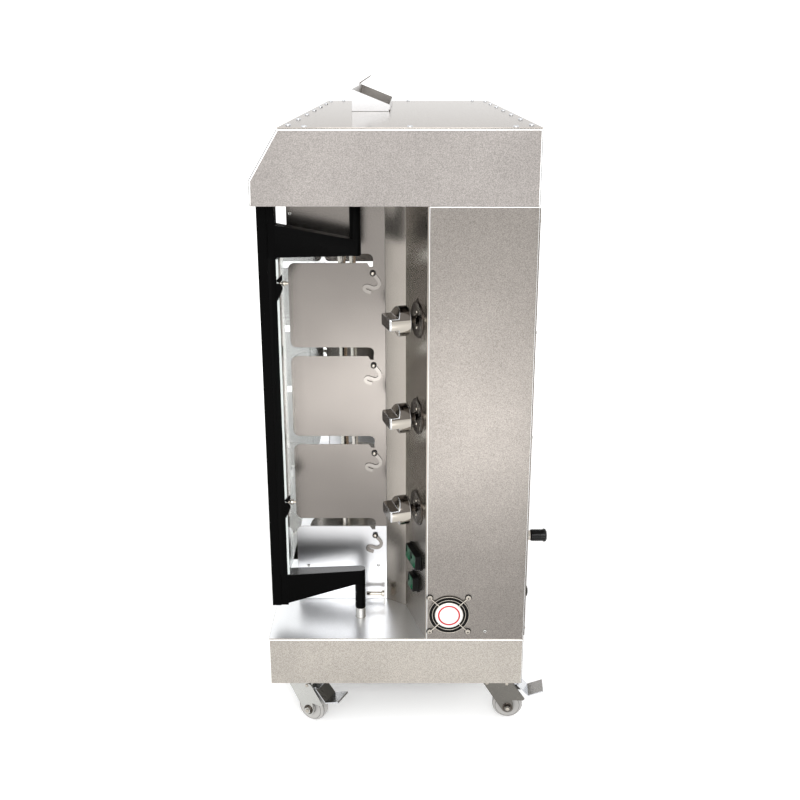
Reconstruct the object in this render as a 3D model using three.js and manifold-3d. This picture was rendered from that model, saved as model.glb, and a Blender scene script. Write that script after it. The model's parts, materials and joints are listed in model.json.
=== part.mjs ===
// Vertical rotisserie broiler with two spits, on casters. Millimetres, +Z up.
// -X is the front with the glass doors, +X the back, -Y the right-hand side as the cook sees it.
import * as THREE from 'three';
import { mergeVertices } from 'three/addons/utils/BufferGeometryUtils.js';
import Module from 'manifold-3d';

const wasm = await Module();
wasm.setup();

// ---------------------------------------------------------------- driving dimensions
const DEPTH = 480;
const WIDTH = 1060;
const CASTER_H = 96;
const BASE_H = 97.5;
const BODY_H = 816.5;
const HOOD_H = 127.5;
const SHEET = 1.5;
const THICK_SHEET = 2;
const GAP = 0.3;

// levels and planes worked out from them
const FRONT = -DEPTH / 2;
const BACK = DEPTH / 2;
const HALF_W = WIDTH / 2;
const DECK_Z = CASTER_H + BASE_H;
const HOOD_Z = DECK_Z + BODY_H;
const TOP_Z = HOOD_Z + HOOD_H;

// side niche: the slanted control panel, its return and the shield behind the door arms
const NICHE_DEPTH = 137;
const PANEL_EDGE = { x: 55, inset: 0 };
const PANEL_BEND = { x: 18.5, inset: 114 };
const WALL_X = -19;
const SHIELD_FRONT = -197;
const KNOB_MIDDLE = 428.5;
const KNOB_PITCH = 181.5;
const KNOB_INSET = 50;
const KNOB_LEVELS = [1, 0, -1].map((step) => DECK_Z + KNOB_MIDDLE + step * KNOB_PITCH);

// glass doors on goose-neck frames
const BAR = 30;
const BAR_X = [FRONT + 3, FRONT + 3 + BAR];
const BAR_INSET = 48.5;
const PIVOT = { x: -70, inset: 77.3, radius: 10 };
// a pivot stub as wide as the post stands on the deck and under the hood; its pin runs in the post
const STUB = { radius: 9.8, low: 21, high: 10.5, pin: 5, bore: 5.4, pinLength: 15 };
const UPPER_ARM = { bottom: 720, topAtBar: 779.5, topAtPost: 748 };
const LOWER_ARM = { top: 104.5, bottomAtBar: 41, bottomAtPost: 77 };
const GLASS_T = 5;

// spits, their motors and the infrared burners
const SPIT = { x: -112, y: 195, radius: 8, disc: 80, discLevel: 60 };
const SOCKET = { outer: 16, bore: 9, height: 20 };
const MOTOR = { x: 70, y: 56, z: 62 };
const BURNER = { width: 300, height: 150, depth: 42, rim: 14, recess: 4 };

// flue collar on the top plate
const FLUE = { x: [-96, -15], y: [-30, 423], high: 46, low: 14, skirt: 24, step: 3.3 };

// gas line and back fittings
const GAS_PIPE_R = 10;
const RISER = { x: 96, y: 462 };
const INLET = { y: -484, z: DECK_Z + 192, length: 38, nipple: 9, cap: 11.3 };
const INLET_END = BACK + 3 + INLET.length;
const GLAND = { y: -478, z: DECK_Z + 71, radius: 10.5, length: 8 };

// fan on the right-hand side
const FAN = { x: 99, z: DECK_Z + 52.4, size: 80, depth: 25, bore: 38, hub: 17, hole: 71.5 };

// casters
const CASTER = { frontX: -180, backX: 197, inset: 36, trail: 20.5, wheelR: 29, wheelW: 24, track: 36 };
const CASTER_PLATE_T = 2.5;

// drip drawer in the plinth
const DRAWER = { halfW: 250, front: [FRONT, FRONT + SHEET], back: 130, z: [CASTER_H + 21, CASTER_H + 72] };

// ---------------------------------------------------------------- materials
const finish = (color, roughness, metalness) =>
  new THREE.MeshStandardMaterial({ color, roughness, metalness });
const brushed = () => finish(0xb4ada4, 0.38, 1);
const polished = () => finish(0xdcd6cc, 0.12, 1);
const blackPaint = () => finish(0x121314, 0.4, 0.1);
const chrome = () => finish(0xd0d0d0, 0.08, 1);
const zinc = () => finish(0xa8aaa6, 0.35, 1);
const blackPlastic = () => finish(0x101010, 0.45, 0);
const greenPlastic = () => finish(0x0c5a34, 0.25, 0);
const nylon = () => finish(0xdcdad6, 0.45, 0);
const brass = () => finish(0xb08d4a, 0.35, 1);
const castIron = () => finish(0x4a4744, 0.7, 0.6);
const glass = () => {
  const pane = finish(0xdfe8e2, 0.03, 0);
  pane.transparent = true;
  pane.opacity = 0.3;
  return pane;
};

// ---------------------------------------------------------------- shape helpers
const toSolid = (geometry) => {
  const bare = geometry.clone();
  bare.deleteAttribute('normal');
  bare.deleteAttribute('uv');
  const merged = mergeVertices(bare, 1e-4);
  const vertProperties = new Float32Array(merged.attributes.position.array);
  const triVerts = new Uint32Array(merged.index.array);
  return new wasm.Manifold(new wasm.Mesh({ numProp: 3, vertProperties, triVerts }));
};

const toGeometry = (solid) => {
  const mesh = solid.getMesh();
  const geometry = new THREE.BufferGeometry();
  geometry.setAttribute('position', new THREE.BufferAttribute(new Float32Array(mesh.vertProperties), 3));
  geometry.setIndex(new THREE.BufferAttribute(new Uint32Array(mesh.triVerts), 1));
  geometry.computeVertexNormals();
  return geometry;
};

const join = (...geometries) => toGeometry(geometries.map(toSolid).reduce((sum, next) => sum.add(next)));
const cut = (geometry, ...tools) => {
  const cutters = tools.map(toSolid);
  return toGeometry(cutters.reduce((rest, next) => rest.subtract(next), toSolid(geometry)));
};

const sorted = (range) => [Math.min(...range), Math.max(...range)];

// a box between two coordinates on each axis
const block = (xRange, yRange, zRange) => {
  const [x, y, z] = [xRange, yRange, zRange].map(sorted);
  const box = new THREE.BoxGeometry(x[1] - x[0], y[1] - y[0], z[1] - z[0]);
  return box.translate((x[0] + x[1]) / 2, (y[0] + y[1]) / 2, (z[0] + z[1]) / 2);
};

const extruded = (points, depth) => {
  const outline = new THREE.Shape(points.map(([a, b]) => new THREE.Vector2(a, b)));
  return new THREE.ExtrudeGeometry(outline, { depth, bevelEnabled: false, steps: 1 });
};

// prisms: outlines in (x, y), (x, z) and (y, z), swept along the third axis
const prismZ = (points, zRange) => {
  const [low, high] = sorted(zRange);
  return extruded(points, high - low).translate(0, 0, low);
};
const prismY = (points, yRange) => {
  const [low, high] = sorted(yRange);
  return extruded(points, high - low).rotateX(Math.PI / 2).translate(0, high, 0);
};

// a round bar between two points
const bar = (radius, from, to, sides = 10) => {
  const start = new THREE.Vector3(...from);
  const span = new THREE.Vector3(...to).sub(start);
  const rod = new THREE.CylinderGeometry(radius, radius, span.length(), sides);
  rod.rotateX(Math.PI / 2).translate(0, 0, span.length() / 2);
  const turn = new THREE.Quaternion().setFromUnitVectors(new THREE.Vector3(0, 0, 1), span.normalize());
  return rod.applyQuaternion(turn).translate(start.x, start.y, start.z);
};

// a profile of [radius, height] points turned about +Z, or about +X or -Y
const turned = (profile, sides = 24) => {
  const points = profile.map(([r, h]) => new THREE.Vector2(r, h));
  return new THREE.LatheGeometry(points, sides).rotateX(Math.PI / 2);
};
const turnedX = (profile, sides) => turned(profile, sides).rotateY(Math.PI / 2);
const turnedY = (profile, sides) => turned(profile, sides).rotateX(Math.PI / 2);

// a flat ring or washer profile that closes on itself
const ringProfile = (inner, outer, low, high) => [
  [inner, low],
  [outer, low],
  [outer, high],
  [inner, high],
  [inner, low],
];

const arc = (cx, cy, radius, fromDeg, toDeg, steps) =>
  Array.from({ length: steps + 1 }, (_, i) => {
    const angle = THREE.MathUtils.degToRad(fromDeg + ((toDeg - fromDeg) * i) / steps);
    return [cx + radius * Math.cos(angle), cy + radius * Math.sin(angle)];
  });

// ---------------------------------------------------------------- assembly
const broiler = new THREE.Group();
broiler.position.x = -(FRONT + INLET_END) / 2;

const add = (name, geometry, material, parent = broiler) => {
  const mesh = new THREE.Mesh(geometry, material);
  mesh.name = name;
  parent.add(mesh);
  return mesh;
};

const SIDES = [
  { name: 'right', sign: -1 },
  { name: 'left', sign: 1 },
];
// distance in from a side face, as a Y coordinate on that side
const fromSide = (side, inset) => side.sign * (HALF_W - inset);

// ---------------------------------------------------------------- plinth
const addPlinth = () => {
  const top = DECK_Z - THICK_SHEET - GAP;
  const inner = [FRONT + THICK_SHEET, BACK - THICK_SHEET];
  const innerHalf = HALF_W - THICK_SHEET;
  const flange = 25;
  const drawerGap = [DRAWER.z[0] - 0.6, DRAWER.z[1] + 0.6];
  const skirt = cut(
    block([FRONT, BACK], [-HALF_W, HALF_W], [CASTER_H, top]),
    block(inner, [-innerHalf, innerHalf], [CASTER_H + THICK_SHEET, top + 1]),
    block([FRONT + flange, BACK - flange], [flange - HALF_W, HALF_W - flange], [CASTER_H - 1, CASTER_H + 3]),
    block([FRONT - 1, FRONT + 3], [-DRAWER.halfW - 0.6, DRAWER.halfW + 0.6], drawerGap),
  );
  const runnerZ = [DRAWER.z[0] - 3, DRAWER.z[0] - 1];
  const runners = SIDES.map((side) =>
    block([inner[0] - 1, inner[1] + 1], [side.sign * 240, side.sign * 262], runnerZ),
  );
  add('base_skirt', join(skirt, ...runners), brushed());

  let deck = block([FRONT, BACK], [-HALF_W, HALF_W], [DECK_Z - THICK_SHEET, DECK_Z]);
  for (const side of SIDES) {
    const drain = block([-228, -208], [side.sign * 95, side.sign * 235], [DECK_Z - 5, DECK_Z + 5]);
    const socket = turned(ringProfile(SOCKET.bore, SOCKET.outer, -1, SOCKET.height), 16);
    const stub = turned(
      [
        [0, -1],
        [STUB.radius, -1],
        [STUB.radius, STUB.low],
        [STUB.pin, STUB.low],
        [STUB.pin, STUB.low + STUB.pinLength],
        [0, STUB.low + STUB.pinLength],
      ],
      16,
    );
    deck = join(
      cut(deck, drain),
      socket.translate(SPIT.x, side.sign * SPIT.y, DECK_Z),
      stub.translate(PIVOT.x, fromSide(side, PIVOT.inset), DECK_Z),
    );
  }
  add('base_deck', deck, polished());

  const tray = cut(
    block([DRAWER.front[0], DRAWER.back], [-DRAWER.halfW, DRAWER.halfW], DRAWER.z),
    block(
      [DRAWER.front[1], DRAWER.back - SHEET],
      [SHEET - DRAWER.halfW, DRAWER.halfW - SHEET],
      [DRAWER.z[0] + SHEET, DRAWER.z[1] + 1],
    ),
    block([DRAWER.front[0] - 1, DRAWER.front[1] + 1], [-45, 45], [DRAWER.z[1] - 26, DRAWER.z[1] - 8]),
  );
  add('drip_drawer', tray, brushed());
};

// ring of wide flat bar under the plinth that the casters are bolted to
const addUnderFrame = () => {
  const z = [CASTER_H - GAP - CASTER_PLATE_T, CASTER_H - GAP];
  const casterY = HALF_W - CASTER.inset;
  const railHalf = 32;
  const across = [CASTER.frontX - railHalf, CASTER.backX + railHalf];
  const inside = [across[0] + 2 * railHalf, across[1] - 2 * railHalf];
  const ring = cut(
    block(across, [-casterY - railHalf, casterY + railHalf], z),
    block(inside, [railHalf - casterY, casterY - railHalf], [z[0] - 1, z[1] + 1]),
  );
  add('under_frame', ring, zinc());
};

// ---------------------------------------------------------------- casters
const CASTERS = [
  { name: 'front_right', x: CASTER.frontX, sign: -1, yaw: -28 },
  { name: 'back_right', x: CASTER.backX, sign: -1, yaw: -4 },
  { name: 'front_left', x: CASTER.frontX, sign: 1, yaw: 14 },
  { name: 'back_left', x: CASTER.backX, sign: 1, yaw: 22 },
];
const FORK_TOP = CASTER_H - GAP - CASTER_PLATE_T - GAP;
const CHEEK_T = 2.5;

// pear-shaped cheek that narrows from the swivel head to the axle
const forkGeometry = () => {
  const axle = [CASTER.trail, CASTER.wheelR];
  const cheekOutline = [
    [-31, FORK_TOP - 6],
    ...arc(axle[0], axle[1], 12, 212, 370, 8),
    [34, 38],
    [57, 36],
    [61, 42],
    [30, FORK_TOP - 10],
    [26, FORK_TOP - 6],
  ];
  const outside = CASTER.track / 2;
  const cheeks = [-1, 1].map((way) =>
    prismY(cheekOutline, [way * outside, way * (outside - CHEEK_T)]),
  );
  const bridge = block([-21, 24], [-outside, outside], [FORK_TOP - 8.5, FORK_TOP - 5.5]);
  const raceFoot = FORK_TOP - 7;
  const race = turned([[0, raceFoot], [20, raceFoot], [23, raceFoot + 3], [23, FORK_TOP], [0, FORK_TOP]], 20);
  const axleBar = bar(4, [axle[0], -outside - 5, axle[1]], [axle[0], outside + 5, axle[1]], 10);
  const bolts = [-1, 1].map((way) =>
    bar(7, [axle[0], way * (outside - 0.5), axle[1]], [axle[0], way * (outside + 5), axle[1]], 6),
  );
  return join(...cheeks, bridge, race, axleBar, ...bolts);
};

const wheelGeometry = () => {
  const half = CASTER.wheelW / 2;
  const bore = 4.3;
  const profile = [
    [bore, -half - 2],
    [9, -half - 2],
    [11, -half + 2],
    [CASTER.wheelR - 5, -half],
    [CASTER.wheelR, -half + 5],
    [CASTER.wheelR, half - 5],
    [CASTER.wheelR - 5, half],
    [11, half - 2],
    [9, half + 2],
    [bore, half + 2],
    [bore, -half - 2],
  ];
  const sides = 24;
  return turnedY(profile, sides).rotateY(Math.PI / sides);
};

// stamped pedal: a plate on its pin between the cheeks, then a wider upturned tread behind them
const pedalGeometry = () => {
  const pin = [27, FORK_TOP - 15];
  const plate = 2.5;
  const top = pin[1] + 3.8;
  const dip = [60, pin[1] - 19.5];
  const tip = [88, pin[1] - 8];
  const inner = CASTER.track / 2 - CHEEK_T - 0.6;
  const tongue = prismY([[25.5, top], [42, top], [42, top - plate], [25.5, top - plate]], [-inner, inner]);
  const tread = prismY(
    [
      [38, top],
      dip,
      tip,
      [tip[0] + plate / 2, tip[1] - plate],
      [dip[0], dip[1] - plate],
      [38, top - plate],
    ],
    [-CASTER.track / 2, CASTER.track / 2],
  );
  const barrel = bar(3.4, [pin[0], -inner, pin[1]], [pin[0], inner, pin[1]], 10);
  return join(tongue, tread, barrel);
};

const addCasters = () => {
  for (const caster of CASTERS) {
    const group = new THREE.Group();
    group.position.set(caster.x, caster.sign * (HALF_W - CASTER.inset), 0);
    group.rotation.z = THREE.MathUtils.degToRad(caster.yaw);
    broiler.add(group);
    add(`caster_fork_${caster.name}`, forkGeometry(), zinc(), group);
    const wheel = add(`caster_wheel_${caster.name}`, wheelGeometry(), nylon(), group);
    wheel.position.set(CASTER.trail, 0, CASTER.wheelR);
    add(`caster_brake_${caster.name}`, pedalGeometry(), zinc(), group);
  }
};

// ---------------------------------------------------------------- rear housing
// outline points of the control panel on one side, from the side edge to the shield
const panelCorners = (side) => [
  [PANEL_EDGE.x, fromSide(side, PANEL_EDGE.inset)],
  [PANEL_BEND.x, fromSide(side, PANEL_BEND.inset)],
  [WALL_X, fromSide(side, NICHE_DEPTH)],
];
const PANEL_TILT = Math.atan2(PANEL_EDGE.x - PANEL_BEND.x, PANEL_BEND.inset - PANEL_EDGE.inset);

// a frame on the slanted panel: +X out of the panel, +Z up, placed by inset from the side and level
const panelFrame = (side, inset, level) => {
  const frame = new THREE.Group();
  const share = (inset - PANEL_EDGE.inset) / (PANEL_BEND.inset - PANEL_EDGE.inset);
  const x = PANEL_EDGE.x + share * (PANEL_BEND.x - PANEL_EDGE.x);
  frame.position.set(x, fromSide(side, inset), level);
  frame.rotation.z = side.sign * (Math.PI - PANEL_TILT);
  frame.updateMatrix();
  return frame;
};

const SWITCHES = [
  { name: 'switch_bezel_double', level: DECK_Z + 145.5, inset: 52, width: 62, rockers: [-14.5, 14.5] },
  { name: 'switch_bezel_single', level: DECK_Z + 92, inset: 52, width: 33, rockers: [0] },
];
const SWITCH_H = 31;

const addControlPanels = () => {
  const z = [DECK_Z + GAP, HOOD_Z - GAP];
  for (const side of SIDES) {
    const corners = panelCorners(side);
    // the sheet is thickened towards the back, square to each stretch
    const back = corners.map(([x, y]) => [x + SHEET * 1.05, y]).reverse();
    let panel = prismZ([...corners, ...back], z);
    for (const level of KNOB_LEVELS) {
      const frame = panelFrame(side, KNOB_INSET, level);
      panel = cut(panel, bar(6, [-8, 0, 0], [8, 0, 0], 12).applyMatrix4(frame.matrix));
    }
    if (side.sign < 0) {
      for (const item of SWITCHES) {
        const frame = panelFrame(side, item.inset, item.level);
        const half = item.width / 2 - 1.6;
        const window = block([-8, 8], [-half, half], [1.6 - SWITCH_H / 2, SWITCH_H / 2 - 1.6]);
        panel = cut(panel, window.applyMatrix4(frame.matrix));
      }
    }
    add(`control_panel_${side.name}`, panel, brushed());
  }
};

const addSidePanels = () => {
  const z = [DECK_Z + GAP, HOOD_Z - GAP];
  const lip = 14;
  for (const side of SIDES) {
    const outer = fromSide(side, 0);
    const inner = fromSide(side, THICK_SHEET);
    const lipY = fromSide(side, lip);
    const startX = PANEL_EDGE.x + SHEET * 1.05 + GAP;
    const skin = block([startX, BACK], [outer, inner], z);
    const root = inner + side.sign;
    const frontLip = block([startX, startX + SHEET], [root, lipY], z);
    const backLip = block([BACK - SHEET, BACK], [root, lipY], z);
    let panel = join(skin, frontLip, backLip);
    if (side.sign < 0) {
      const mouth = bar(FAN.bore, [FAN.x, outer - 5, FAN.z], [FAN.x, outer + 5, FAN.z], 32);
      panel = cut(panel, mouth);
    }
    add(`side_panel_${side.name}`, panel, brushed());
  }
};

const addBackPanel = () => {
  const half = HALF_W - 5;
  const x = [BACK + GAP, BACK + GAP + THICK_SHEET];
  const ventLength = 120;
  let panel = block(x, [-half, half], [DECK_Z + 4, HOOD_Z - 4]);
  const vents = [];
  for (const y of [-300, 0, 300]) {
    for (let row = 0; row < 3; row += 1) {
      const z = DECK_Z + 60 + row * 16;
      vents.push(block([BACK - 2, BACK + 6], [y - ventLength / 2, y + ventLength / 2], [z, z + 4]));
    }
  }
  const inletHole = bar(INLET.nipple + 0.6, [BACK - 2, INLET.y, INLET.z], [BACK + 6, INLET.y, INLET.z], 24);
  const glandHole = bar(7, [BACK - 2, GLAND.y, GLAND.z], [BACK + 6, GLAND.y, GLAND.z], 12);
  panel = cut(panel, ...vents, inletHole, glandHole);
  add('back_panel', panel, brushed());
};

// ---------------------------------------------------------------- cooking chamber
const CHAMBER_HALF = HALF_W - NICHE_DEPTH - SHEET;

const addBurnerWall = () => {
  const half = CHAMBER_HALF - GAP;
  let wall = block([WALL_X, WALL_X + SHEET], [-half, half], [DECK_Z + GAP, HOOD_Z - GAP]);
  const windowHalf = BURNER.width / 2 - BURNER.rim;
  for (const side of SIDES) {
    for (const level of KNOB_LEVELS) {
      const y = side.sign * SPIT.y;
      const z = [level - BURNER.height / 2 + BURNER.rim, level + BURNER.height / 2 - BURNER.rim];
      wall = cut(wall, block([WALL_X - 2, WALL_X + 4], [y - windowHalf, y + windowHalf], z));
    }
  }
  add('burner_wall', wall, polished());
};

// a ceramic plaque in a steel tray with a mixing tube behind it
const burnerGeometry = () => {
  const halfW = BURNER.width / 2;
  const halfH = BURNER.height / 2;
  const tray = block([0, BURNER.depth], [-halfW, halfW], [-halfH, halfH]);
  const face = block(
    [-1, BURNER.recess],
    [BURNER.rim - halfW, halfW - BURNER.rim],
    [BURNER.rim - halfH, halfH - BURNER.rim],
  );
  const neck = bar(13, [BURNER.depth - 2, 0, 0], [BURNER.depth + 38, 0, 0], 12);
  return join(cut(tray, face), neck);
};

const addBurners = () => {
  const levelNames = ['top', 'middle', 'bottom'];
  for (const side of SIDES) {
    KNOB_LEVELS.forEach((level, i) => {
      const burner = add(`burner_${side.name}_${levelNames[i]}`, burnerGeometry(), castIron());
      burner.position.set(WALL_X + SHEET + GAP, side.sign * SPIT.y, level);
    });
  }
};

// leaves of the shield are parted by slots that open at the front and end in a down-turned hook
const SLOTS = [693, 515, 337, 163].map((low) => [DECK_Z + low, DECK_Z + low + 17]);
const LEAF_CORNER = 12;

const slotOutline = ([low, high]) => {
  const frontX = SHIELD_FRONT;
  const endX = -43;
  return [
    [frontX - 2, low - LEAF_CORNER],
    ...arc(frontX + LEAF_CORNER, low - LEAF_CORNER, LEAF_CORNER, 180, 90, 4),
    [endX - 9, low],
    [endX - 5, low - 7],
    [endX + 1, low - 7],
    [endX + 1, low],
    ...arc(endX - 8, high - 10, 10, 0, 90, 3),
    ...arc(frontX + LEAF_CORNER, high + LEAF_CORNER, LEAF_CORNER, 270, 180, 4),
    [frontX - 2, high + LEAF_CORNER],
  ];
};

const addShields = () => {
  const z = [DECK_Z + GAP, HOOD_Z - GAP];
  const lip = 9;
  const leafEdges = [z[1], ...SLOTS.flatMap(([low, high]) => [high, low]), z[0]];
  for (const side of SIDES) {
    const face = [fromSide(side, NICHE_DEPTH), fromSide(side, NICHE_DEPTH + SHEET)];
    const sheet = block([SHIELD_FRONT, WALL_X - GAP], face, z);
    const cutRange = [face[0] - 5, face[0] + 5];
    const slots = SLOTS.map((slot) => prismY(slotOutline(slot), cutRange));
    const lipY = [face[0], fromSide(side, NICHE_DEPTH + lip)];
    const lips = [];
    for (let i = 0; i < leafEdges.length; i += 2) {
      const top = leafEdges[i] - (i === 0 ? 0 : LEAF_CORNER);
      const bottom = leafEdges[i + 1] + (i === leafEdges.length - 2 ? 0 : LEAF_CORNER);
      lips.push(block([SHIELD_FRONT, SHIELD_FRONT + SHEET], lipY, [bottom, top]));
    }
    add(`side_shield_${side.name}`, join(cut(sheet, ...slots), ...lips), brushed());
  }
};

// spit: a rod with a drip disc, turned by the motor above and held by the socket below
const addSpits = () => {
  for (const side of SIDES) {
    const low = 3;
    const top = BODY_H + 30;
    const spit = turned([
      [0, low],
      [SPIT.radius, low],
      [SPIT.radius, SPIT.discLevel - 12],
      [16, SPIT.discLevel - 12],
      [16, SPIT.discLevel - 3],
      [SPIT.disc, SPIT.discLevel],
      [SPIT.disc, SPIT.discLevel + 3],
      [SPIT.radius, SPIT.discLevel],
      [SPIT.radius, top],
      [0, top],
    ], 24);
    const y = side.sign * SPIT.y;
    add(`spit_${side.name}`, spit, polished()).position.set(SPIT.x, y, DECK_Z);
    const gearbox = block([-MOTOR.x / 2, MOTOR.x / 2], [-MOTOR.y / 2, MOTOR.y / 2], [0, MOTOR.z - 24]);
    const can = bar(24, [0, 0, MOTOR.z - 26], [0, 0, MOTOR.z + 30], 20);
    const socket = bar(SPIT.radius + 1, [0, 0, -1], [0, 0, 30], 12);
    const motor = add(`spit_motor_${side.name}`, cut(join(gearbox, can), socket), castIron());
    motor.position.set(SPIT.x, y, HOOD_Z + THICK_SHEET + GAP);
  }
};

// ---------------------------------------------------------------- gas line
const addGasLine = () => {
  const pipes = [bar(GAS_PIPE_R, [RISER.x, -RISER.y, INLET.z], [RISER.x, RISER.y, INLET.z])];
  for (const side of SIDES) {
    const y = side.sign * RISER.y;
    pipes.push(bar(GAS_PIPE_R, [RISER.x, y, INLET.z - 14], [RISER.x, y, KNOB_LEVELS[0] + 14]));
    for (const level of KNOB_LEVELS) {
      const frame = panelFrame(side, KNOB_INSET, level);
      pipes.push(bar(14, [-60, 0, 0], [-14, 0, 0]).applyMatrix4(frame.matrix));
    }
  }
  const branchX = BACK - 4;
  pipes.push(bar(GAS_PIPE_R, [RISER.x, -RISER.y + 4, INLET.z], [RISER.x, INLET.y, INLET.z]));
  pipes.push(bar(GAS_PIPE_R, [RISER.x, INLET.y, INLET.z], [branchX, INLET.y, INLET.z]));
  add('gas_manifold', join(...pipes), brass());

  const collarEnd = BACK + 3 + 8;
  const reach = collarEnd - branchX;
  const collar = turnedX([[0, 0], [INLET.nipple, 0], [INLET.nipple, reach], [0, reach]], 24);
  add('gas_inlet', collar, brushed()).position.set(branchX + GAP, INLET.y, INLET.z);
  const capLength = INLET_END - collarEnd;
  const cap = turnedX([
    [0, 0],
    [INLET.cap - 1.5, 0],
    [INLET.cap - 0.5, 2],
    [INLET.cap - 0.5, capLength - 8],
    [INLET.cap + 1, capLength - 5],
    [INLET.cap + 0.5, capLength - 2],
    [INLET.cap - 2, capLength],
    [0, capLength],
  ], 24);
  add('gas_inlet_cap', cap, blackPlastic()).position.set(collarEnd + 2 * GAP, INLET.y, INLET.z);

  const stem = 6;
  const plate = THICK_SHEET + 2 * GAP;
  const gland = turnedX([
    [0, -stem],
    [6, -stem],
    [6, plate],
    [GLAND.radius, plate],
    [GLAND.radius, plate + GLAND.length - 2],
    [GLAND.radius - 2, plate + GLAND.length],
    [0, plate + GLAND.length],
  ], 20);
  add('cable_gland', gland, blackPlastic()).position.set(BACK, GLAND.y, GLAND.z);
};

// ---------------------------------------------------------------- controls
// round body whose outer half is cut down to a grip bar; the bar lies level when the gas is off
const knobGeometry = () => {
  const body = turnedX([
    [0, -9],
    [4, -9],
    [4, 5],
    [7, 5],
    [7, 17],
    [25, 18],
    [27, 20],
    [27, 57],
    [25, 59],
    [0, 59],
  ], 24);
  const gripHalf = 10.5;
  const cuts = [-1, 1].map((way) => {
    const [edge, grip] = [way * 30, way * gripHalf];
    return prismY([[37, edge], [37, way * 25], [42, grip], [62, grip], [62, edge]], [-30, 30]);
  });
  return cut(body, ...cuts);
};

const addKnobs = () => {
  const levelNames = ['top', 'middle', 'bottom'];
  for (const side of SIDES) {
    KNOB_LEVELS.forEach((level, i) => {
      const frame = panelFrame(side, KNOB_INSET, level);
      broiler.add(frame);
      add(`knob_${side.name}_${levelNames[i]}`, knobGeometry(), chrome(), frame);
    });
  }
};

const addSwitches = () => {
  const right = SIDES[0];
  const rocker = { halfW: 11.5, halfH: 10, pivotDepth: 8 };
  const proud = 12;
  let count = 0;
  for (const item of SWITCHES) {
    const frame = panelFrame(right, item.inset, item.level);
    broiler.add(frame);
    const halfW = item.width / 2;
    const flange = block([GAP, 3], [-halfW, halfW], [-SWITCH_H / 2, SWITCH_H / 2]);
    const body = block([-24, proud], [2 - halfW, halfW - 2], [2 - SWITCH_H / 2, SWITCH_H / 2 - 2]);
    const wells = item.rockers.map((y) => {
      const across = [y - rocker.halfW - 0.5, y + rocker.halfW + 0.5];
      return block([rocker.pivotDepth - 10, proud + 1], across, [-12, 12]);
    });
    add(item.name, cut(join(flange, body), ...wells), blackPlastic(), frame);
    for (const y of item.rockers) {
      count += 1;
      const { halfH } = rocker;
      const side = [[-6, -halfH], [5, -halfH], [2.6, 0], [5, halfH], [-6, halfH]];
      const key = prismY(side, [-rocker.halfW, rocker.halfW]);
      const mesh = add(`rocker_${count}`, key, greenPlastic(), frame);
      mesh.position.set(rocker.pivotDepth, y, 0);
      mesh.rotation.y = THREE.MathUtils.degToRad(-8);
    }
  }
};

// ---------------------------------------------------------------- fan
const addFan = () => {
  const outer = -HALF_W;
  const half = FAN.size / 2;
  const inner = outer + THICK_SHEET + GAP;
  const back = inner + FAN.depth;
  const frame = cut(
    block([-half, half], [inner, back], [-half, half]),
    bar(FAN.bore, [0, inner - 1, 0], [0, back + 1, 0], 32),
  );
  const spokes = [0, 90].map((angle) => {
    const spoke = block([-half + 1, half - 1], [back - 4, back - 1], [-3, 3]);
    return spoke.rotateY(THREE.MathUtils.degToRad(angle + 45));
  });
  const hubMount = bar(FAN.hub, [0, back - 5, 0], [0, back, 0], 20);
  const place = (mesh) => mesh.position.set(FAN.x, 0, FAN.z);
  place(add('fan_frame', join(frame, ...spokes, hubMount), blackPlastic()));

  const bladeCount = 7;
  const tip = FAN.bore - 1.5;
  const rotor = [bar(FAN.hub, [0, inner + 3, 0], [0, back - 5 - GAP, 0], 20)];
  for (let i = 0; i < bladeCount; i += 1) {
    const blade = block([FAN.hub - 2, tip - 1.5], [-0.9, 0.9], [-9, 9]);
    blade.rotateX(THREE.MathUtils.degToRad(38)).translate(0, (inner + back) / 2 - 1, 0);
    rotor.push(blade.rotateY((2 * Math.PI * i) / bladeCount));
  }
  place(add('fan_rotor', join(...rotor), blackPlastic()));

  const wire = 1.1;
  const guardY = outer - 2.6;
  const rings = [31, 37.6].map((radius) =>
    turnedY(ringProfile(radius - wire, radius + wire, -wire, wire), 24).translate(0, guardY, 0),
  );
  const badge = bar(26.5, [0, guardY - 1.2, 0], [0, guardY + 1.2, 0], 24);
  const arms = [45, 135, 225, 315].map((angle) => {
    const arm = block([24, FAN.hole / Math.SQRT2], [guardY - 0.8, guardY + 0.8], [-1.3, 1.3]);
    return arm.rotateY(THREE.MathUtils.degToRad(angle));
  });
  const lugs = [45, 135, 225, 315].map((angle) => {
    const lug = bar(4.5, [FAN.hole / Math.SQRT2, guardY - 1, 0], [FAN.hole / Math.SQRT2, outer - GAP, 0], 8);
    return lug.rotateY(THREE.MathUtils.degToRad(angle));
  });
  place(add('fan_guard', join(...rings, badge, ...arms, ...lugs), chrome()));
};

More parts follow.
